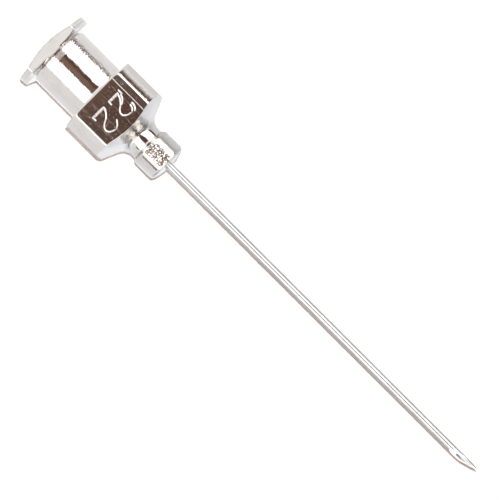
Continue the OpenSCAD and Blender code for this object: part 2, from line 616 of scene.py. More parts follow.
def spaced(points: Sequence[Point], pitch: float, hold: float = 0.02) -> list[Point]:
    """Divides the long stretches of an outline.

    Args:
        points: Points of the outline.
        pitch: Longest stretch that is left.
        hold: Distance from the ends of a long stretch at which it is divided as well, so that
            the shading of a round doesn't run into it.

    Returns:
        The points with those in between.
    """
    path = [points[0]]
    for start, end in zip(points, points[1:]):
        a, b = Vector(start), Vector(end)
        length = (b - a).length
        shares = [1.0]
        if length > 3 * hold:
            inner = max(1, math.ceil((length - 2 * hold) / pitch))
            shares = [*(np.linspace(hold, length - hold, inner + 1) / length), 1.0]
        path += [tuple(a.lerp(b, float(s))) for s in shares]
    return path


def soft_min(first: Array, second: Array, blend: float) -> Array:
    """The smaller of two radii, with the edge where they meet rounded.

    Args:
        first: One radius for each column.
        second: The other radius.
        blend: Difference of the radii within which the edge is rounded.

    Returns:
        The radius that is left.
    """
    near = np.clip(blend - np.abs(first - second), 0.0, None)
    return np.minimum(first, second) - near * near / (4 * blend)


def placed(name: str, data: bpy.types.ID) -> bpy.types.Object:
    """Puts a mesh, a lamp or a camera in the scene as an object at the origin.

    Args:
        name: The object's name.
        data: What it shows.

    Returns:
        The object.
    """
    made = bpy.data.objects.new(name, data)
    bpy.context.scene.collection.objects.link(made)
    return made


def weld(bm: bmesh.types.BMesh, gap: float) -> None:
    """Joins vertices within a gap in metres, and turns all faces outward."""
    bmesh.ops.remove_doubles(bm, verts=bm.verts, dist=gap)
    bmesh.ops.recalc_face_normals(bm, faces=bm.faces)


def written(bm: bmesh.types.BMesh, mesh: bpy.types.Mesh) -> bpy.types.Mesh:
    """Writes an edited mesh into one of the scene's meshes, and frees it.

    Args:
        bm: The edited mesh.
        mesh: The scene's mesh.

    Returns:
        The scene's mesh.
    """
    bm.to_mesh(mesh)
    bm.free()
    return mesh


def baked(piece: bpy.types.Object) -> None:
    """Turns a piece's modifiers into plain mesh.

    Args:
        piece: The piece, which keeps its name.
    """
    bpy.context.view_layer.update()
    evaluated = piece.evaluated_get(bpy.context.evaluated_depsgraph_get())
    mesh = bpy.data.meshes.new_from_object(evaluated)
    piece.modifiers.clear()
    old = piece.data
    piece.data = mesh
    mesh.name = piece.name
    bpy.data.meshes.remove(old)


class NodeShape:
    """A Geometry Nodes tree with named inputs, put on a piece and turned into mesh."""

    def __init__(self, name: str) -> None:
        """Starts a tree that takes geometry and gives geometry.

        Args:
            name: The tree's name.
        """
        self.tree = bpy.data.node_groups.new(name, "GeometryNodeTree")
        self.graph = NodeGraph(self.tree)
        self.values: dict[str, Any] = {}
        self.geometry("INPUT")
        self.geometry("OUTPUT")
        self.entry = self.graph.node("NodeGroupInput")

    def geometry(self, side: str) -> None:
        """Adds the geometry socket on one side of the tree."""
        self.tree.interface.new_socket("Geometry", in_out=side, socket_type="NodeSocketGeometry")

    def take(self, name: str, value: Any, kind: str = "NodeSocketFloat") -> Socket:
        """Adds a named input.

        Args:
            name: Its name.
            value: What the modifier sets it to.
            kind: Its type of socket.

        Returns:
            The socket that carries it in the tree.
        """
        made = self.tree.interface.new_socket(name, in_out="INPUT", socket_type=kind)
        self.values[made.identifier] = value
        return self.entry.outputs[name]

    def number(self, name: str, value: float) -> Term:
        """Adds a named input for a size or a share, as a number to calculate with."""
        return Term(self.graph, self.take(name, value))

    def end(self, geometry: Socket, material: bpy.types.Material) -> None:
        """Closes the tree with real geometry in one finish.

        Args:
            geometry: What the tree has made.
            material: The finish.
        """
        real = self.graph.out("GeometryNodeRealizeInstances", {0: geometry})
        finished = self.graph.out("GeometryNodeSetMaterial", {"Geometry": real, "Material": material})
        self.graph.node("NodeGroupOutput", {0: finished})

    def apply(self, piece: bpy.types.Object) -> None:
        """Runs the tree on a piece and keeps the result as its mesh.

        Args:
            piece: The piece.
        """
        modifier = piece.modifiers.new(self.tree.name, "NODES")
        modifier.node_group = self.tree
        for identifier, value in self.values.items():
            modifier[identifier] = value
        baked(piece)


class Zone(Enum):
    """Stretches of the hub's surface that are treated apart, by the name of their attribute."""

    MILLED = "milled"
    CRIMPED = "crimped"
    # Painted shade: darkening at corners, steps and edges, and over one side of the boss.
    SOILED = "soiled"


@dataclass(frozen=True)
class Numeral:
    """An engraved digit, as the graver's passes across and up from its lower left."""

    curves: tuple[tuple[Point, ...], ...]
    lines: tuple[tuple[Point, ...], ...]

    def strokes(self) -> list[list[Point]]:
        """All passes of the graver, the curved ones smoothed."""
        return [*(self.smoothed(knots) for knots in self.curves), *map(list, self.lines)]

    def smoothed(self, knots: Sequence[Point], steps: int = 8) -> list[Point]:
        """A smooth curve through some points.

        Args:
            knots: The points. The curve leaves each along the line between its neighbours.
            steps: Straight pieces from one point to the next.

        Returns:
            The curve's points.
        """
        padded = np.array([knots[0], *knots, knots[-1]])
        path: list[Point] = []
        for a, b, c, d in zip(padded, padded[1:], padded[2:], padded[3:]):
            for t in np.linspace(0.0, 1.0, steps, endpoint=False):
                curve = 2 * b + (c - a) * t + (2 * a - 5 * b + 4 * c - d) * t**2
                curve += (3 * b - a - 3 * c + d) * t**3
                path.append(tuple(curve / 2))
        return [*path, tuple(knots[-1])]


def hatched(
    start: float, end: float, up: float, count: int = 4, slant: float = 0.05
) -> tuple[tuple[Point, Point], ...]:
    """Short strokes one after another, each a little aslant, for the foot of a digit.

    Args:
        start: Where the foot starts, across the digit.
        end: Where it ends.
        up: Its height on the digit.
        count: How many strokes it has.
        slant: How much higher each stroke starts than it ends.

    Returns:
        The strokes, each by its two ends.
    """
    stops = np.linspace(start, end, count + 1)
    return tuple(((a, up + slant), (b, up)) for a, b in zip(stops, stops[1:]))


FIRST_DIGIT = Numeral(
    curves=(
        (
            (0.33, 0.16), (0.46, 0.53), (0.64, 0.8), (0.9, 1.06), (1.19, 1.28), (1.34, 1.5),
            (1.37, 1.68), (1.28, 1.9), (1.06, 2.08), (0.84, 2.14), (0.57, 2.16), (0.37, 2.02),
            (0.26, 1.81), (0.23, 1.63),
        ),
        ((0.0, 1.59), (0.0, 1.85), (0.12, 2.1), (0.31, 2.27)),
        ((0.08, 0.38), (0.18, 0.42), (0.31, 0.7), (0.53, 0.93), (0.71, 1.06)),
    ),
    lines=(
        ((0.06, -0.02), (0.06, 0.4)),
        *hatched(0.3, 1.38, 0.06),
        *hatched(0.36, 1.36, 0.15),
        ((1.38, 0.06), (1.4, 0.45)),
    ),
)
SECOND_DIGIT = Numeral(
    curves=(
        (
            (0.1, 0.1), (0.22, 0.53), (0.4, 0.75), (0.62, 0.97), (0.88, 1.1), (1.15, 1.28),
            (1.32, 1.5), (1.38, 1.68), (1.32, 1.9), (1.1, 2.12), (0.8, 2.22), (0.53, 2.2),
            (0.31, 2.07), (0.12, 1.85), (0.03, 1.72),
        ),
    ),
    lines=(
        ((0.1, 0.42), (0.08, 0.13)),
        *hatched(0.08, 1.4, 0.06),
        *hatched(0.14, 1.36, 0.15),
        ((1.4, 0.07), (1.39, 0.46)),
    ),
)


@dataclass(frozen=True)
class Fineness:
    """How finely the hub's mesh is divided: pitches in millimetres, counts, and degrees beside edges."""

    pitch: float = 0.1
    lugs: float = 0.035
    lug_hold: float = 0.01
    barrel: float = 0.8
    seat: float = 2.0
    funnel: float = 0.4
    socket: float = 1.2
    strokes: float = 0.04
    stroke_margin: float = 0.13
    flat_gap: float = 1e-4
    crimp_margin: float = 0.05
    crimp_margin_angle: float = 3.0
    block_edge: Point = (2.4, 2.2)
    lug_edge: Point = (1.4, 1.2)
    columns: tuple[int, ...] = (13, 9, 3, 5, 1)
    face_shares: tuple[float, ...] = (0.05, 0.3, 0.6, 0.9, 0.97)
    shoulder_steps: int = 6
    barrel_steps: int = 8
    neck_steps: int = 12
    boss_steps: int = 7
    dome_steps: int = 10
    foot_steps: int = 5
    digit_cuts: int = 6
    crimp_cuts: int = 1
    weld_gap: float = 2e-7


@dataclass(frozen=True)
class ShadeBand:
    """Painted shade along a line around the hub, by its distance behind an edge, its width and its
    strength.
    """

    shift: float
    width: float
    full: float = 1.0

    def share(self, distance: Array) -> Array:
        """Share of painted shade at some distances behind the edge, from 0 to 1."""
        return np.clip(self.full - np.abs(distance - self.shift) / self.width, 0.0, 1.0)


@dataclass(frozen=True)
class HubZones:
    """Where the hub is milled and crimped, and where shade is painted on it, in millimetres from its
    edges and across it.
    """

    margin: float = 0.1
    barrel_skin: float = 0.02
    neck_skin: float = 0.01
    cone_reach: float = 0.6
    flat_margin: float = 0.03
    lug_flat_margin: float = 0.05
    lug_flat_share: float = 0.1
    crimp_lead: float = 0.12
    crimp_fade: float = 0.15
    crimp_fade_angle: float = 10.0
    corner: ShadeBand = ShadeBand(0.0, 0.06)
    corner_start: float = 0.6
    corner_half: float = 1.7
    corner_fade: float = 1.1
    joint: ShadeBand = ShadeBand(0.08, 0.14, 1.4)
    joint_half: float = 1.9
    step: ShadeBand = ShadeBand(0.0, 0.09)
    step_side: float = 0.6
    step_share: float = 0.45
    ring: ShadeBand = ShadeBand(1.24, 0.13, 1.4)
    ring_ends: Point = (-0.4, -0.1)
    ring_share: float = 0.3
    rim: ShadeBand = ShadeBand(0.04, 0.05)
    rim_shares: Point = (0.3, 0.6)
    boss_side_from: float = 1.0
    boss_shade_fade: float = 0.3
    boss_shade_share: float = 0.25


@dataclass
class Hub:
    """Turned hub: Luer socket and lugs, barrel, block with four flats, cone, neck and boss."""

    mouth_r: float = 2.135
    socket_taper: float = 0.06
    socket_depth: float = 8.5
    funnel_end: float = 9.407
    seat_r: float = 0.37
    mouth_chamfer: float = 0.08
    mouth_land: float = 0.34
    lug_r: float = 3.9
    lug_rim: float = 0.36
    lug_front_angle: float = 20.0
    lug_crest_angle: float = 6.0
    lug_back_angle: float = 24.0
    lug_back_shift: float = 1.25
    lug_root: float = 1.62
    lug_half: float = 2.85
    lug_flats_len: float = 1.25
    lug_flats_draft: float = 0.035
    lug_gap: float = 0.03
    flange_rounds: tuple[float, ...] = (0.02, 0.02, 0.06, 0.1)
    barrel_r: float = 3.0
    barrel_fillet: float = 0.25
    relief_end: float = 2.0
    relief_slope: float = 0.018
    relief_round: float = 1.0
    shoulder_at: float = 6.4
    shoulder_round: float = 0.25
    flats_round: float = 0.08
    block_half: float = 3.9
    corner_r: float = 4.7
    block_len: float = 3.9
    cone_angle: float = 24.0
    cone_lead: float = 0.1
    cone_round: float = 0.06
    neck_r: float = 1.65
    neck_fillet: float = 1.2
    neck_len: float = 0.35
    boss_r: float = 1.95
    boss_len: float = 2.7
    boss_round: float = 0.35
    boss_dome: float = 0.25
    boss_fillet: float = 0.14
    seat_chamfer: float = 0.02
    seat_lead: float = 0.05
    edge_blend: float = 0.07
    lug_blend: float = 0.05
    groove_half: float = 0.052
    groove_depth: float = 0.032
    digit_base: float = 7.63
    digit_starts: Point = (1.68, -0.31)
    numerals: tuple[Numeral, Numeral] = (FIRST_DIGIT, SECOND_DIGIT)
    crimp_half_angle: float = 26.0
    crimp_least: float = 0.3
    crimp_seed: int = 22
    pit_spacing: float = 0.2
    pit_r: float = 0.21
    pit_depth: float = 0.055
    pit_density: float = 5.0e7
    fine: Fineness = Fineness()
    zones: HubZones = HubZones()
    finish: MetalFinish = field(default_factory=NickelPlate)

    def __post_init__(self) -> None:
        """Works out the places that follow from the sizes."""
        self.land_r = self.mouth_r + self.mouth_chamfer + self.mouth_land
        self.rim_start = (self.lug_r - self.land_r) * math.tan(math.radians(self.lug_front_angle))
        self.rim_end = self.rim_start + self.lug_rim
        self.block_end = self.shoulder_at + self.block_len
        slope = math.radians(self.cone_angle)
        self.fillet_r = self.neck_r + self.neck_fillet
        drop = (self.corner_r - self.fillet_r) * math.sin(slope)
        self.fillet_x = self.block_end + (self.neck_fillet + drop) / math.cos(slope)
        self.boss_start = self.fillet_x + self.neck_len
        self.boss_end = self.boss_start + self.boss_len
        self.columns = self.column_angles()
        self.from_flat = np.maximum(np.abs(np.cos(self.columns)), np.abs(np.sin(self.columns)))

    def column_angles(self) -> Array:
        """Angles of the mesh's columns, from +Z, closer together where flats end in an edge.

        Returns:
            Angles in radians, once around.
        """
        block_edge = math.degrees(math.acos(self.block_half / self.corner_r))
        lug_edge = math.degrees(math.acos(self.lug_half / self.lug_r))
        stops = [0]
        for edge, (before, after) in ((block_edge, self.fine.block_edge), (lug_edge, self.fine.lug_edge)):
            stops += [edge - before, edge + after]
        stops += [45]
        spans = zip(stops, stops[1:], self.fine.columns)
        eighth = np.concatenate([np.linspace(a, b, n, endpoint=False) for a, b, n in spans])
        quarter = np.concatenate([eighth, 90 - eighth[:0:-1], [45]])
        quarter = np.sort(quarter)
        return np.radians(np.concatenate([quarter + 90 * k for k in range(4)]))

    def plain(self, path: Sequence[Point]) -> list[Ring]:
        """Rings of a stretch that is only turned."""
        return [(x, np.full_like(self.columns, r)) for x, r in path]

    def lug_back(self, x: float) -> Array:
        """How far the backs of the lugs let the flange reach, at a distance from the mouth.

        Args:
            x: The distance from the mouth.

        Returns:
            A radius for each column.
        """
        across = np.abs(np.sin(self.columns)) * self.lug_back_shift
        along = np.cos(self.columns) * self.lug_back_shift
        fall = (self.lug_root - x) / math.tan(math.radians(self.lug_back_angle))
        reach = self.barrel_r - self.lug_back_shift + fall
        return across + np.sqrt(np.clip(reach * reach - along * along, 0.0, None))

    def lug_flat(self, x: float) -> Array:
        """How far the flats let the flange reach, rising a little from the mouth."""
        half = self.lug_half + self.lug_flats_draft * (x - self.lug_flats_len)
        return half / np.maximum(np.abs(np.cos(self.columns)), 1e-3)

    def flange(self, mouth: Point) -> list[Ring]:
        """Rings of the flange, from the mouth over its lugs to the barrel.

        Args:
            mouth: Where the socket's wall meets the chamfer of the mouth.

        Returns:
            Rings in order, up to just behind the lugs.
        """
        crest = math.tan(math.radians(self.lug_crest_angle))
        drop = (self.lug_root - self.rim_end) * crest
        front = [
            mouth,
            (0.0, self.mouth_r + self.mouth_chamfer),
            (0.0, self.land_r),
            (self.rim_start, self.lug_r),
            (self.rim_end, self.lug_r),
            (self.lug_root, self.lug_r - drop),
        ]
        front = rounded(front, self.flange_rounds)
        turn = front.index(max(front, key=lambda point: point[1]))
        path = spaced(front[:turn], self.fine.pitch, self.fine.lug_hold)
        path += spaced(front[turn:], self.fine.lugs, self.fine.lug_hold)
        rings = []
        for x, r in path:
            free = soft_min(np.full_like(self.columns, r), self.lug_back(x), self.lug_blend)
            rings.append((x, np.maximum(free, np.minimum(r, self.barrel(x)))))
        end = self.lug_flats_len
        cut = [(x, soft_min(ring, self.lug_flat(x), self.lug_blend)) for x, ring in rings if x < end]
        left = [(x, ring) for x, ring in rings if x > end]
        return [*cut, (end, cut[-1][1]), (end, left[0][1]), *left]

    def barrel(self, x: float) -> float:
        """Radius of the barrel, which is relieved a little behind the flange."""
        return self.barrel_r - self.relief_slope * max(self.relief_end - x, 0.0)

    def with_block_flats(self, path: Sequence[Point], inset: float = 0.0) -> list[Ring]:
        """Rings of the block, cut by its four flats."""
        limit = (self.block_half - inset) / self.from_flat
        return [(x, soft_min(np.full_like(limit, r), limit, self.edge_blend)) for x, r in path]

    def shoulder(self) -> list[Ring]:
        """Rings across the shoulder's face and round its edges on to the flats and corners.

        Returns:
            Rings in order, up to where the flats are whole.
        """
        turns = np.radians(np.linspace(0, 90, self.fine.shoulder_steps + 1))
        depths = [1 - math.cos(turn) for turn in turns]
        rounds = (self.flats_round, self.shoulder_round)
        steps = sorted([radius * depth for radius in rounds for depth in depths][1:])
        edge = []
        for depth in steps:
            turned = self.corner_r - self.taken(depth, self.shoulder_round)
            inset = self.taken(depth, self.flats_round)
            edge += self.with_block_flats([(self.shoulder_at + depth, turned)], inset)
        start = self.barrel_r + self.barrel_fillet
        rim = edge[0][1]
        face = [(self.shoulder_at, start + (rim - start) * share) for share in self.fine.face_shares]
        return [*face, *edge]

    def taken(self, depth: float, radius: float) -> float:
        """What a round takes off a side, at a depth below the face that it starts from."""
        left = max(radius - depth, 0.0)
        return radius - math.sqrt(radius * radius - left * left)

    def outline(self) -> list[Ring]:
        """Rings of the whole hub, over its outside from the mouth to the boss and back inside.

        Returns:
            Rings in order. The last one joins the first.
        """
        fine = self.fine
        mouth = (self.mouth_chamfer, self.mouth_r - self.socket_taper * self.mouth_chamfer / 2)
        behind = self.lug_root + self.lug_gap
        barrel = [
            (behind, self.barrel(behind)),
            (self.relief_end, self.barrel_r),
            (self.shoulder_at, self.barrel_r),
            (self.shoulder_at, self.barrel_r + 2 * self.barrel_fillet),
        ]
        barrel = rounded(barrel, [self.relief_round, self.barrel_fillet], fine.barrel_steps)[:-1]
        flats_end = self.shoulder_at + self.shoulder_round
        block = [(flats_end, self.corner_r), (self.block_end - self.cone_lead, self.corner_r)]
        block = spaced(block, fine.pitch)
        slope = math.radians(self.cone_angle)
        cone_end = (
            self.fillet_x - self.neck_fillet * math.cos(slope),
            self.fillet_r - self.neck_fillet * math.sin(slope),
        )
        cone = rounded([block[-1], (self.block_end, self.corner_r), cone_end], [self.cone_round])
        turn = (180 + self.cone_angle, 270)
        fillet = arc_points((self.fillet_x, self.fillet_r), self.neck_fillet, *turn, fine.neck_steps)
        return [
            *self.flange(mouth),
            *self.plain(spaced(barrel, fine.barrel)),
            *self.shoulder(),
            *self.with_block_flats(block[1:]),
            *self.with_block_flats(spaced(cone[1:], fine.pitch)),
            *self.plain(fillet[1:]),
            *self.plain(self.boss()),
            *self.plain(self.inside(mouth)),
        ]

    def inside(self, mouth: Point) -> list[Point]:
        """Outline of the inside, from the seat of the tube through the funnel and the socket.

        Args:
            mouth: Where the socket's wall meets the chamfer of the mouth.

        Returns:
            Its points, without the mouth itself.
        """
        socket_end_r = self.mouth_r - self.socket_taper * self.socket_depth / 2
        stops = [
            (self.boss_end - self.seat_lead, self.seat_r),
            (self.funnel_end, self.seat_r),
            (self.socket_depth, socket_end_r),
            mouth,
        ]
        pitches = (self.fine.seat, self.fine.funnel, self.fine.socket)
        path = stops[:1]
        for start, end, pitch in zip(stops, stops[1:], pitches):
            path += spaced([start, end], pitch)[1:]
        return path[:-1]

    def boss(self) -> list[Point]:
        """Outline of the boss, from the neck over its domed end to the seat of the tube.

        Returns:
            Its points.
        """
        edge = self.boss_r - self.boss_round
        dome_r = (edge**2 + self.boss_dome**2) / (2 * self.boss_dome)
        reach = dome_r - self.boss_round
        spring = math.degrees(math.asin(edge / reach))
        rim = math.degrees(math.asin((self.seat_r + self.seat_chamfer) / dome_r))
        low = (self.boss_start + self.boss_round, edge)
        high = (self.boss_end - dome_r + math.sqrt(reach**2 - edge**2), edge)
        fine = self.fine
        first = arc_points(low, self.boss_round, 180, 90, fine.boss_steps)
        last = arc_points(high, self.boss_round, 90, spring, fine.boss_steps)
        dome = arc_points((self.boss_end - dome_r, 0.0), dome_r, spring, rim, fine.dome_steps)
        foot = (self.boss_start - self.boss_fillet, self.neck_r + self.boss_fillet)
        return [
            *arc_points(foot, self.boss_fillet, 270, 360, fine.foot_steps),
            *spaced([*first, *last], fine.pitch),
            *dome[1:],
            (self.boss_end - self.seat_chamfer, self.seat_r),
        ]

    def blank(self) -> bpy.types.Mesh:
        """Closed mesh of the hub before it is marked, with the finer grids that the marks need.

        Returns:
            The mesh, with an attribute for each zone.
        """
        rings = self.outline()
        along = np.array([x for x, _ in rings])[:, None]
        radius = np.stack([r for _, r in rings])
        places = np.stack(
            [along + 0 * radius, radius * np.sin(self.columns), radius * np.cos(self.columns)], -1
        )
        around = len(self.columns)
        bm = bmesh.new()
        verts = [bm.verts.new(p * MM) for p in places.reshape(-1, 3)]
        for i in range(len(rings)):
            after = (i + 1) % len(rings)
            for j in range(around):
                beside = (j + 1) % around
                corners = (i, j), (after, j), (after, beside), (i, beside)
                bm.faces.new([verts[a * around + b] for a, b in corners])
        weld(bm, self.fine.weld_gap)
        self.refine(bm)
        mesh = written(bm, bpy.data.meshes.new("hub_blank"))
        self.zone(mesh)
        mesh.shade_smooth()
        return mesh

    def refine(self, bm: bmesh.types.BMesh) -> None:
        """Divides the faces under the digits' strokes and under the crimp into finer grids.

        Args:
            bm: The blank, before it is written.
        """
        fine = self.fine
        strokes = np.array([spot for stroke in self.passes() for spot in spaced(stroke, fine.strokes)])
        close = self.groove_half + fine.stroke_margin
        top = self.block_half - fine.flat_gap
        spread = math.sin(math.radians(self.crimp_half_angle + fine.crimp_margin_angle)) * self.boss_r
        start = self.boss_start + fine.crimp_margin
        end = self.boss_end - self.boss_dome - fine.crimp_margin
        digits, crimp = [], []
        for face in bm.faces:
            spots = [v.co / MM for v in face.verts]
            if all(p.z > top for p in spots):
                middle = face.calc_center_median() / MM
                if np.hypot(*(strokes - middle[:2]).T).min() < close:
                    digits.append(face)
            if all(start < p.x < end and abs(p.y) < spread for p in spots):
                if min(math.hypot(p.y, p.z) for p in spots) > self.neck_r:
                    crimp.append(face)
        for faces, cuts in ((digits, fine.digit_cuts), (crimp, fine.crimp_cuts)):
            edges = dict.fromkeys(edge for face in faces for edge in face.edges)
            bmesh.ops.subdivide_edges(bm, edges=list(edges), cuts=cuts, use_grid_fill=True)

    def zone(self, mesh: bpy.types.Mesh) -> None:
        """Stores on the mesh where it is milled flat, where it is crimped and where shade is painted.

        Args:
            mesh: The blank's mesh.
        """
        places = np.empty(len(mesh.vertices) * 3)
        mesh.vertices.foreach_get("co", places)
        spots = (places.reshape(-1, 3) / MM).T
        shares = {Zone.MILLED: self.milled, Zone.CRIMPED: self.crimped, Zone.SOILED: self.soiled}
        for zone, share in shares.items():
            layer = mesh.attributes.new(zone.value, "FLOAT", "POINT")
            layer.data.foreach_set("value", share(spots).astype(np.float32))

    def milled(self, spots: Array) -> Array:
        """Share of milling: whole on the block's flats and slight on the lugs' flats.

        Args:
            spots: Places along the hub, across its front flat and up from its axis.

        Returns:
            The share, from 0 to 1, for each place.
        """
        (x, y, z), zones = spots, self.zones
        on_block = (x > self.shoulder_at + zones.margin) & (x < self.block_end + zones.cone_reach)
        on_flat = np.maximum(np.abs(y), np.abs(z)) > self.block_half - zones.flat_margin
        on_lug = (x < self.lug_flats_len) & (np.hypot(y, z) > self.land_r)
        on_lug_flat = np.abs(np.abs(z) - self.lug_half) < zones.lug_flat_margin
        return 1.0 * (on_block & on_flat) + zones.lug_flat_share * (on_lug & on_lug_flat)

    def crimped(self, spots: Array) -> Array:
        """Share of crimping, on the boss's front and back.

        Args:
            spots: Places as for milled().

        Returns:
            The share, from 0 to 1, for each place.
        """
        (x, y, z), zones = spots, self.zones
        turn = np.degrees(np.arctan2(np.abs(y), np.abs(z)))
        share = np.clip((self.crimp_half_angle - turn) / zones.crimp_fade_angle, 0, 1)
        share *= np.clip((x - self.boss_start - zones.crimp_lead) / zones.crimp_fade, 0, 1)
        share *= np.clip((self.boss_end - self.boss_dome - zones.crimp_lead - x) / zones.crimp_fade, 0, 1)
        return share * (np.hypot(y, z) > self.neck_r)

    def soiled(self, spots: Array) -> Array:
        """Share of painted shade, darkening where shade falls.

        It lies behind the lugs and along their rims, in a ring on the neck, where neck and boss meet,
        and over one side of the boss.

        Args:
            spots: Places as for milled().

        Returns:
            The share, from 0 to 1, for each place.
        """
        (x, y, z), zones = spots, self.zones
        radius, side = np.hypot(y, z), np.abs(y)
        # Painted shade in the corner behind each lug.
        fall = (self.lug_root - x) / math.tan(math.radians(self.lug_back_angle))
        behind = np.hypot(side - self.lug_back_shift, z) - (self.barrel_r - self.lug_back_shift + fall)
        on_back = (x > zones.corner_start) & (x < self.lug_root + zones.margin)
        on_back &= (radius > self.barrel_r - zones.barrel_skin) & (np.abs(z) < self.lug_half + zones.margin)
        inner = np.clip(1.0 - (side - zones.corner_half) / zones.corner_fade, 0.0, 1.0)
        corner = on_back * inner * zones.corner.share(behind)
        # Painted shade at the step where the lugs' flats end.
        joint = zones.joint.share(x - self.lug_flats_len)
        joint *= (side < zones.joint_half) & (radius > self.lug_half)
        # Painted shade at the step from neck to boss.
        step = zones.step.share(x - self.boss_start)
        step *= (radius > self.neck_r - zones.neck_skin) & (y < zones.step_side)
        # Painted shade in a ring where the cone turns into the neck.
        far, near = zones.ring_ends
        ring = zones.ring.share(x - self.block_end) * (z > self.neck_r)
        ring *= np.where(y > near, 1.0, zones.ring_share * (y > far))
        # Painted shade line along the rear edge of the lugs' rims.
        rim = zones.rim.share(x - self.rim_end) * (radius > self.lug_r - zones.margin)
        rim *= np.where(y > 0, zones.rim_shares[1], zones.rim_shares[0])
        # Painted shade over the boss's +Y side.
        wear_and_shade = np.clip((y - zones.boss_side_from) / zones.boss_shade_fade, 0.0, 1.0)
        wear_and_shade *= (x > self.boss_start + zones.margin) & (radius > self.neck_r)
        shares = [corner, joint, zones.step_share * step, ring, rim, zones.boss_shade_share * wear_and_shade]
        return np.max(shares, axis=0)

    def passes(self) -> list[list[Point]]:
        """The graver's passes on the front flat.

        Returns:
            For each pass, its places along the hub and across the flat.
        """
        return [
            [(self.digit_base + up, start - across) for across, up in stroke]
            for start, numeral in zip(self.digit_starts, self.numerals)
            for stroke in numeral.strokes()
        ]

    def number_path(self) -> bpy.types.Object:
        """The graver's path for the number on the front flat.

        Returns:
            An object of edges only, which is removed once the number is cut.
        """
        bm = bmesh.new()
        for stroke in self.passes():
            verts = [bm.verts.new(Vector((*spot, self.block_half)) * MM) for spot in stroke]
            for a, b in zip(verts, verts[1:]):
                bm.edges.new((a, b))
        return placed("number_path", written(bm, bpy.data.meshes.new("number_path")))

    def marking(self, path: bpy.types.Object) -> NodeShape:
        """Geometry Nodes tree that cuts the number and presses the crimp's pits.

        Args:
            path: The graver's path.

        Returns:
            The tree, ready to be put on the blank.
        """
        shape = NodeShape("hub_marks")
        graph = shape.graph
        half = shape.number("Groove Half Width", self.groove_half * MM)
        depth = shape.number("Groove Depth", self.groove_depth * MM)
        graver = shape.take("Number Path", path, "NodeSocketObject")
        seed = shape.take("Crimp Seed", self.crimp_seed, "NodeSocketInt")
        spacing = shape.take("Pit Spacing", self.pit_spacing * MM)
        pit_r = shape.number("Pit Radius", self.pit_r * MM)
        pit_depth = shape.number("Pit Depth", self.pit_depth * MM)

        edges = graph.node("GeometryNodeObjectInfo", {"Object": graver}).outputs["Geometry"]
        near = graph.node("GeometryNodeProximity", {0: edges}, target_element="EDGES")
        cut = (1.0 - graph.term(near, "Distance") / half).most(0.0) * depth
        down = graph.out("ShaderNodeCombineXYZ", {"Z": 0.0 - cut})
        blank = shape.entry.outputs["Geometry"]
        engraved = graph.out("GeometryNodeSetPosition", {"Geometry": blank, "Offset": down})

        name = Zone.CRIMPED.value
        zone = graph.node("GeometryNodeInputNamedAttribute", {"Name": name}, data_type="FLOAT")
        crimped = graph.term(zone, "Attribute")
        pits = graph.out(
            "GeometryNodeDistributePointsOnFaces",
            {
                "Mesh": engraved,
                "Selection": crimped.above(self.crimp_least, 0.01),
                "Distance Min": spacing,
                "Density Max": self.pit_density,
                "Seed": seed,
            },
            distribute_method="POISSON",
        )
        near = graph.node("GeometryNodeProximity", {0: pits}, target_element="POINTS")
        reach = (graph.term(near, "Distance") / pit_r).least(1.0)
        press = (1.0 - reach * reach) * pit_depth * crimped
        inward = graph.stretched(graph.out("GeometryNodeInputNormal"), 0.0 - press)
        pressed = graph.out("GeometryNodeSetPosition", {"Geometry": engraved, "Offset": inward})
        shape.end(pressed, self.finish.material())
        return shape

    def build(self) -> bpy.types.Object:
        """Makes the hub and lets it stand for its CAD node.

        Returns:
            The finished piece.
        """
        piece = placed("needle_hub", self.blank())
        path = self.number_path()
        self.marking(path).apply(piece)
        bpy.data.objects.remove(path)
        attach(piece, "root")
        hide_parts("hub")
        return piece


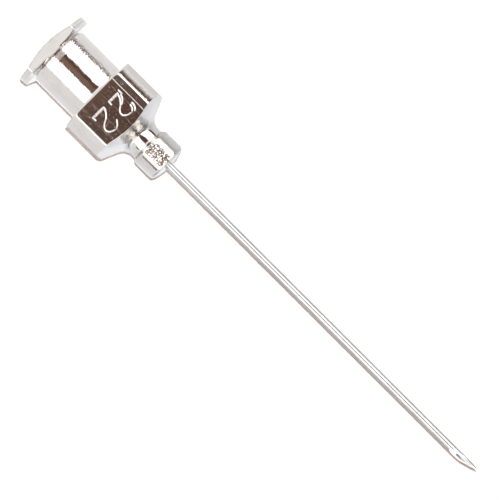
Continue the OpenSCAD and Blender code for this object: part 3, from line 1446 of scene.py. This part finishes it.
@dataclass
class Cannula:
    """Steel tube with a lancet point: a main bevel and two side facets."""

    outer_r: float = 0.36
    bore_r: float = 0.205
    start: float = 9.607
    tip: float = 54.087
    bevel_angle: float = 13.0
    lancet_angle: float = 17.0
    lancet_turn: float = 35.0
    point_setback: float = 0.02
    bevel_roll: float = 33.0
    bore_spare: float = 0.5
    sharp_angle: float = 12.0
    around: int = 128
    along: int = 60
    weld_gap: float = 1e-8
    finish: MetalFinish = field(default_factory=StainlessTube)

    def rod(self, shape: NodeShape, radius: Term, spare: float) -> Socket:
        """Round rod along the tube's axis.

        Args:
            shape: The tree that it is made in.
            radius: Its radius.
            spare: How far it runs past both ends of the tube.

        Returns:
            Its closed mesh.
        """
        graph = shape.graph
        ends = {"Start": ((self.start - spare) * MM, 0, 0), "End": ((self.tip + spare) * MM, 0, 0)}
        line = graph.out("GeometryNodeCurvePrimitiveLine", ends)
        path = graph.out("GeometryNodeResampleCurve", {"Curve": line, "Count": self.along})
        section = {"Resolution": self.around, "Radius": radius}
        ring = graph.out("GeometryNodeCurvePrimitiveCircle", section)
        swept = {"Curve": path, "Profile Curve": ring, "Fill Caps": True}
        return graph.out("GeometryNodeCurveToMesh", swept)

    def grind(self, shape: NodeShape, angle: Term, turn: Term, setback: float) -> Socket:
        """Block that grinds one facet of the point away.

        Args:
            shape: The tree that it is made in.
            angle: The facet's angle to the axis, in radians.
            turn: Its turn about the axis.
            setback: How far it stays behind the point.

        Returns:
            The block's mesh, in its place.
        """
        graph = shape.graph
        side = 4 * self.outer_r * MM
        length = 16 * self.outer_r / math.sin(math.radians(self.bevel_angle)) * MM
        cosine = graph.math("COSINE", turn, 0.0)
        block = graph.out("GeometryNodeMeshCube", {"Size": (length, side, side)})
        moves = [
            {"Translation": (0.0, 0.0, side / 2)},
            {"Rotation": graph.out("ShaderNodeCombineXYZ", {"Y": angle})},
            {"Translation": graph.out("ShaderNodeCombineXYZ", {"Z": -self.outer_r * MM * cosine})},
            {"Rotation": graph.out("ShaderNodeCombineXYZ", {"X": turn})},
            {"Translation": ((self.tip - setback) * MM, 0.0, 0.0)},
        ]
        for move in moves:
            block = graph.out("GeometryNodeTransform", {"Geometry": block, **move})
        return block

    def point(self) -> NodeShape:
        """Geometry Nodes tree that sweeps the tube along its axis and grinds its point.

        Returns:
            The tree, ready to be put on an empty mesh.
        """
        shape = NodeShape("ground_tube")
        graph = shape.graph
        outer = shape.number("Outer Radius", self.outer_r * MM)
        bore = shape.number("Bore Radius", self.bore_r * MM)
        bevel = shape.number("Bevel Angle", math.radians(self.bevel_angle))
        lancet = shape.number("Lancet Angle", math.radians(self.lancet_angle))
        turn = shape.number("Lancet Turn", math.radians(self.lancet_turn))
        roll = shape.number("Bevel Roll", math.radians(self.bevel_roll))
        cutters = [
            self.rod(shape, bore, self.bore_spare),
            self.grind(shape, bevel, 0.0 * turn, 0.0),
            self.grind(shape, lancet, turn, self.point_setback),
            self.grind(shape, lancet, 0.0 - turn, self.point_setback),
        ]
        ground = self.rod(shape, outer, 0.0)
        for cutter in cutters:
            meshes = {"Mesh 1": ground, "Mesh 2": cutter}
            ground = graph.out("GeometryNodeMeshBoolean", meshes, operation="DIFFERENCE", solver="EXACT")
        rolled = graph.out("ShaderNodeCombineXYZ", {"X": roll})
        turned = graph.out("GeometryNodeTransform", {"Geometry": ground, "Rotation": rolled})
        shape.end(turned, self.finish.material())
        return shape

    def build(self) -> bpy.types.Object:
        """Makes the tube and lets it stand for its CAD node.

        Returns:
            The finished piece.
        """
        piece = placed("needle_tube", bpy.data.meshes.new("tube_blank"))
        self.point().apply(piece)
        bm = bmesh.new()
        bm.from_mesh(piece.data)
        weld(bm, self.weld_gap)
        written(bm, piece.data)
        piece.data.shade_smooth()
        piece.data.set_sharp_from_angle(angle=math.radians(self.sharp_angle))
        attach(piece, "root")
        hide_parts("cannula")
        return piece


@dataclass(frozen=True)
class Softbox:
    """A soft lamp beside the needle, seen in the metal as a white band.

    Its angles are in degrees from straight up, and its distance and reach in metres.
    """

    name: str
    side: float
    top_angle: float
    low_angle: float
    radiance: float = 1.42
    distance: float = 0.4
    reach: Point = (-0.3, 1.9)

    def build(self, target: Vector) -> None:
        """Hangs the lamp.

        Args:
            target: The point it faces.
        """
        middle = math.radians((self.top_angle + self.low_angle) / 2)
        half = math.radians((self.low_angle - self.top_angle) / 2)
        lamp = bpy.data.lights.new(self.name, "AREA")
        lamp.shape = "RECTANGLE"
        lamp.size = self.reach[1] - self.reach[0]
        lamp.size_y = 2 * self.distance * math.tan(half)
        lamp.energy = self.radiance * math.pi * lamp.size * lamp.size_y
        back = Vector((0.0, self.side * math.sin(middle), math.cos(middle)))
        along = Vector((1.0, 0.0, 0.0))
        turned = Matrix((along, back.cross(along), back)).transposed().to_4x4()
        centre = target + self.distance * back + sum(self.reach) / 2 * along
        made = placed(self.name, lamp)
        made.matrix_world = Matrix.Translation(centre) @ turned
        made.visible_diffuse = False


def looking(graph: NodeGraph) -> tuple[Term, Term]:
    """Which rays look at what is around the needle.

    Args:
        graph: The tree that asks.

    Returns:
        1 for rays of the camera, and 1 for those and rays off metal and through glass.
    """
    path = graph.node("ShaderNodeLightPath")
    kinds = ("Camera", "Glossy", "Transmission")
    direct, glossy, through = (graph.term(path, f"Is {kind} Ray") for kind in kinds)
    return direct, direct.most(glossy).most(through)


@dataclass(frozen=True)
class Floor:
    """Pale floor that shows white and keeps the needle's shadow; where the metal mirrors it, it has
    painted cool light, painted shade and shadow, and a painted glow.

    It lies at a height in metres. The edges of its tints are in millimetres, along and across the needle.
    """

    at: float
    lamp_height: float
    half: float = 3.0
    paper: Colour = (0.95, 0.95, 0.95)
    near: Colour = (0.915, 0.905, 0.915)
    cool: Colour = (0.885, 0.925, 0.97)
    clear: Colour = (0.93, 0.965, 1.0)
    glow: Colour = (0.15, 0.08, 0.05)
    glow_fade: Point = (3.0e4, 5.0e4)
    cool_from: float = 12.0
    hub_half: float = 4.8
    barrel_end: float = 9.0
    block_from: float = 6.3
    block_slant: float = 0.055
    block_side: float = 3.0
    block_dim: float = 0.11
    tube_starts: Point = (16.5, 20.5)
    tube_side: Point = (-14.0, -3.3)
    tube_dims: Point = (0.2, 0.68)
    tube_shares: Point = (0.3, 0.7)
    ahead_from: float = 13.5
    ahead_lift: float = 0.13
    barrel_lift: float = 0.2
    lost_lift: float = 0.8

    def dimmed(self, x: Term, y: Term) -> Term:
        """Share of painted shade beside the block's shaded side, and of painted shadow and shade beside
        the tube.

        Args:
            x: Where on the floor, along the needle.
            y: Across it.

        Returns:
            The share, from 0 to 1.
        """
        block = (x + self.block_slant * y).above(self.block_from, 1.0) * y.above(self.block_side, 4.0)
        far, near = self.tube_dims
        tube = far * y.above(0.0, 2.0) + near * y.between(*self.tube_side, 1.0)
        first, second = self.tube_starts
        start, rest = self.tube_shares
        return self.block_dim * block + tube * (start * x.above(first, 1.0) + rest * x.above(second, 2.0))

    def material(self) -> bpy.types.Material:
        """Makes the floor's look.

        Returns:
            A material that is white to the camera, and where the metal mirrors it tinted, darkened by
            painted shade and evened by a painted glow.
        """
        made = bpy.data.materials.new("pale_floor")
        made.use_nodes = True
        graph = NodeGraph(made.node_tree)
        direct, every = looking(graph)
        x, y, _ = graph.parts(graph.place())
        # Tints that only the metal sees: painted cool light towards the point and by the barrel.
        by_barrel = y.between(-self.hub_half, self.hub_half, 1.0) * (1.0 - x.above(self.barrel_end, 2.0))
        tinted = graph.mixed(x.above(self.cool_from, self.cool_from), self.near, self.cool)
        tinted = graph.mixed(by_barrel, tinted, self.clear)
        # Painted shade and shadow, seen only in the metal.
        tinted = graph.mixed(self.dimmed(x, y), tinted, UNLIT)
        away = x * x + y * y
        # Warm painted glow for the camera near the needle, which lifts and warms its shadow; far off it
        # is plain white.
        glow = graph.mixed(away.above(*self.glow_fade), self.glow, WHITE)
        # Painted glow, seen only in the metal, that makes up for the overhead lamp's fall-off and
        # brightens the floor by the barrel and towards the point.
        lost = 1.0 - (away / (self.lamp_height - self.at / MM) ** 2 + 1.0) ** -1.5
        ahead = x.above(self.ahead_from, 2.0) * (1.0 - 0.5 * y.above(0.0, 1.0))
        lift = self.lost_lift * lost + self.barrel_lift * by_barrel + self.ahead_lift * ahead
        painted_glow = graph.mixed(lift, BLACK, tinted)
        paper = graph.out(
            "ShaderNodeBsdfPrincipled",
            {
                "Base Color": graph.mixed(every - direct, self.paper, tinted),
                "Roughness": 1.0,
                "Specular IOR Level": 0.0,
                "Emission Color": graph.mixed(direct, painted_glow, glow),
                "Emission Strength": 1.0,
            },
        )
        graph.node("ShaderNodeOutputMaterial", {"Surface": paper})
        return made

    def build(self) -> None:
        """Lays the floor."""
        signs = [(-1, -1), (1, -1), (1, 1), (-1, 1)]
        corners = [(x * self.half, y * self.half, self.at) for x, y in signs]
        mesh = bpy.data.meshes.new("floor")
        mesh.from_pydata(corners, [], [(0, 1, 2, 3)])
        mesh.materials.append(self.material())
        placed("floor", mesh)


@dataclass(frozen=True)
class Room:
    """Pale surroundings, dark overhead and in three bands that the metal mirrors.

    Edges of bands are parts of a direction, or for the gap overhead their ratio to its upward part.
    """

    fill: Colour = (0.295, 0.285, 0.28)
    plain: Colour = (0.97, 0.95, 0.935)
    warm: Colour = (1.09, 1.075, 1.055)
    brown: Colour = (0.26, 0.165, 0.125)
    warm_from: float = -0.6
    least_rise: float = 0.05
    barrel_to: float = -0.058
    neck_from: float = -0.044
    tube_from: float = -0.028
    gap_sides: Point = (-0.205, 0.42)
    gap_ends: Point = (-0.108, 5.2)
    gap_steps: Point = (0.17, 0.07)
    brown_sides: Point = (-0.12, 0.15)
    brown_to: float = -0.0575
    low_heights: Point = (0.03, 0.36)
    low_side: float = 0.75
    low_step: float = 0.1
    low_shares: Point = (0.95, 0.05)
    line_heights: Point = (0.345, 0.49)
    line_side: float = -0.7
    line_ends: Point = (-0.042, 0.35)
    end_from: float = 0.75
    end_heights: Point = (0.0, 0.17)
    end_sides: Point = (0.06, 0.5)

    def overhead(self, x: Term, aside: Term, across: Term) -> Term:
        """Share of the dark gap overhead, stepped in at the neck and partly back at the tube.

        Args:
            x: Part of the direction along the needle.
            aside: Its ratio to the upward part.
            across: Ratio of the part across the needle.

        Returns:
            The share, from 0 to 1.
        """
        (low, high), (start, end) = self.gap_sides, self.gap_ends
        neck, tube = self.gap_steps
        lower = across - neck * x.above(self.neck_from, 0.006) + tube * x.above(self.tube_from, 0.003)
        over = lower.above(low, 0.01) * (1.0 - across.above(high, 0.01))
        return over * aside.above(start, 0.02) * (1.0 - aside.above(end, 0.4))

    def bands(self, x: Term, y: Term, z: Term) -> Term:
        """Share of the dark bands: low on one side, in a line on the other and beyond the point.

        Args:
            x: Part of the direction along the needle.
            y: Part across it.
            z: Part upward.

        Returns:
            The share, from 0 to 1.
        """
        start, top = self.low_heights
        beside = z - self.low_step * x.between(self.barrel_to, self.neck_from, 0.004)
        low = beside.above(start, 0.18) * (1.0 - z.above(top, 0.02)) * y.above(self.low_side, 0.05)
        whole, more = self.low_shares
        low = low * (whole + more * x.above(self.barrel_to, 0.003))
        line = z.between(*self.line_heights, 0.02) * (1.0 - y.above(self.line_side, 0.1))
        line = line * x.between(*self.line_ends, 0.006)
        end = x.above(self.end_from, 0.1) * z.between(*self.end_heights, 0.04)
        return low.most(line).most(end * y.between(*self.end_sides, 0.08))

    def build(self) -> None:
        """Surrounds the needle."""
        world = bpy.data.worlds.new("room")
        world.use_nodes = True
        bpy.context.scene.world = world
        graph = NodeGraph(world.node_tree)
        x, y, z = graph.parts(graph.node("ShaderNodeTexCoord").outputs["Generated"])
        up = z.most(self.least_rise)
        aside, across = x / up, y / up
        direct, every = looking(graph)
        shade = self.overhead(x, aside, across).most(self.bands(x, y, z)) * (1.0 - direct)
        browned = across.between(*self.brown_sides, 0.03) * (1.0 - aside.above(self.brown_to, 0.004))
        dark = graph.mixed(browned, UNLIT, self.brown)
        pale = graph.mixed(y.above(self.warm_from, 0.2), self.plain, self.warm)
        look = graph.mixed(shade, graph.mixed(direct, pale, WHITE), dark)
        light = graph.mixed(every, self.fill, look)
        shader = graph.out("ShaderNodeBackground", {"Color": light, "Strength": 1.0})
        graph.node("ShaderNodeOutputWorld", {"Surface": shader})


@dataclass
class Studio:
    """Floor, lamps, surroundings and camera.

    Sizes and places are in millimetres. The floor's height and the camera's clip are in metres.
    """

    floor_at: float
    look_at: Point = (25.81, -0.22)
    axis_turn: float = 44.96
    view_tilt: float = 1.0
    camera_height: float = 345.0
    frame_width: float = 44.66
    sensor: float = 36.0
    clip: Point = (0.01, 20.0)
    softboxes: tuple[Softbox, ...] = (
        Softbox("lamp_right", side=1.0, top_angle=22.8, low_angle=71.8),
        Softbox("lamp_left", side=-1.0, top_angle=11.6, low_angle=54.0),
    )
    softbox_aim: float = 12.0
    overhead_at: tuple[float, float, float] = (15.7, 22.0, 336.0)
    overhead_level: float = 2.5
    overhead_half: float = 3.5
    overhead_colour: Colour = (0.97, 0.99, 1.0)
    point_aim: float = 52.0
    point_way: tuple[float, float, float] = (0.431, -0.854, 0.292)
    point_distance: float = 30.0
    point_size: float = 12.0
    point_radiance: float = 2.3

    def camera(self) -> None:
        """Places the camera straight above the needle, turned as the photograph is."""
        lens = bpy.data.cameras.new("camera")
        lens.sensor_width = self.sensor
        lens.lens = self.sensor * self.camera_height / self.frame_width
        lens.clip_start, lens.clip_end = self.clip
        tilt = Matrix.Rotation(-math.radians(self.view_tilt), 4, "X")
        turn = Matrix.Rotation(math.radians(self.axis_turn), 4, "Z")
        back = tilt @ Vector((0.0, 0.0, self.camera_height))
        made = placed("camera", lens)
        made.matrix_world = Matrix.Translation((Vector((*self.look_at, 0.0)) + back) * MM) @ tilt @ turn
        bpy.context.scene.camera = made

    def overhead(self) -> None:
        """Hangs a small lamp beside the camera, for the narrow shadow beside the needle."""
        lamp = bpy.data.lights.new("lamp_overhead", "POINT")
        place = Vector(self.overhead_at) * MM
        lamp.energy = self.overhead_level * 4 * math.pi * place.length_squared
        lamp.color = self.overhead_colour
        lamp.shadow_soft_size = self.overhead_half * MM
        made = placed("lamp_overhead", lamp)
        made.location = place
        made.visible_glossy = False

    def beside_point(self) -> None:
        """Hangs a soft lamp where the ground bevel of the point mirrors it towards the camera."""
        lamp = bpy.data.lights.new("lamp_point", "AREA")
        lamp.size = self.point_size * MM
        lamp.energy = self.point_radiance * math.pi * lamp.size**2
        way = Vector(self.point_way)
        made = placed("lamp_point", lamp)
        made.location = (Vector((self.point_aim, 0.0, 0.0)) + self.point_distance * way) * MM
        made.rotation_euler = way.to_track_quat("Z", "Y").to_euler()
        made.visible_diffuse = False

    def build(self) -> None:
        """Sets up everything around the needle."""
        for softbox in self.softboxes:
            softbox.build(Vector((self.softbox_aim, 0.0, 0.0)) * MM)
        self.overhead()
        self.beside_point()
        self.camera()
        Floor(self.floor_at, self.overhead_at[2]).build()
        Room().build()
        bpy.context.scene.view_settings.view_transform = "Standard"


def main() -> None:
    """Builds the needle and its studio, and notes the size of both models."""
    logging.basicConfig(level=logging.INFO, format="%(message)s")
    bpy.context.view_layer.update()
    Studio(floor_at=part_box("hub")[0][2]).build()
    for piece in (Hub().build(), Cannula().build()):
        log.info("%s: %d faces", piece.name, len(piece.data.polygons))


if __name__ == "__main__":
    main()
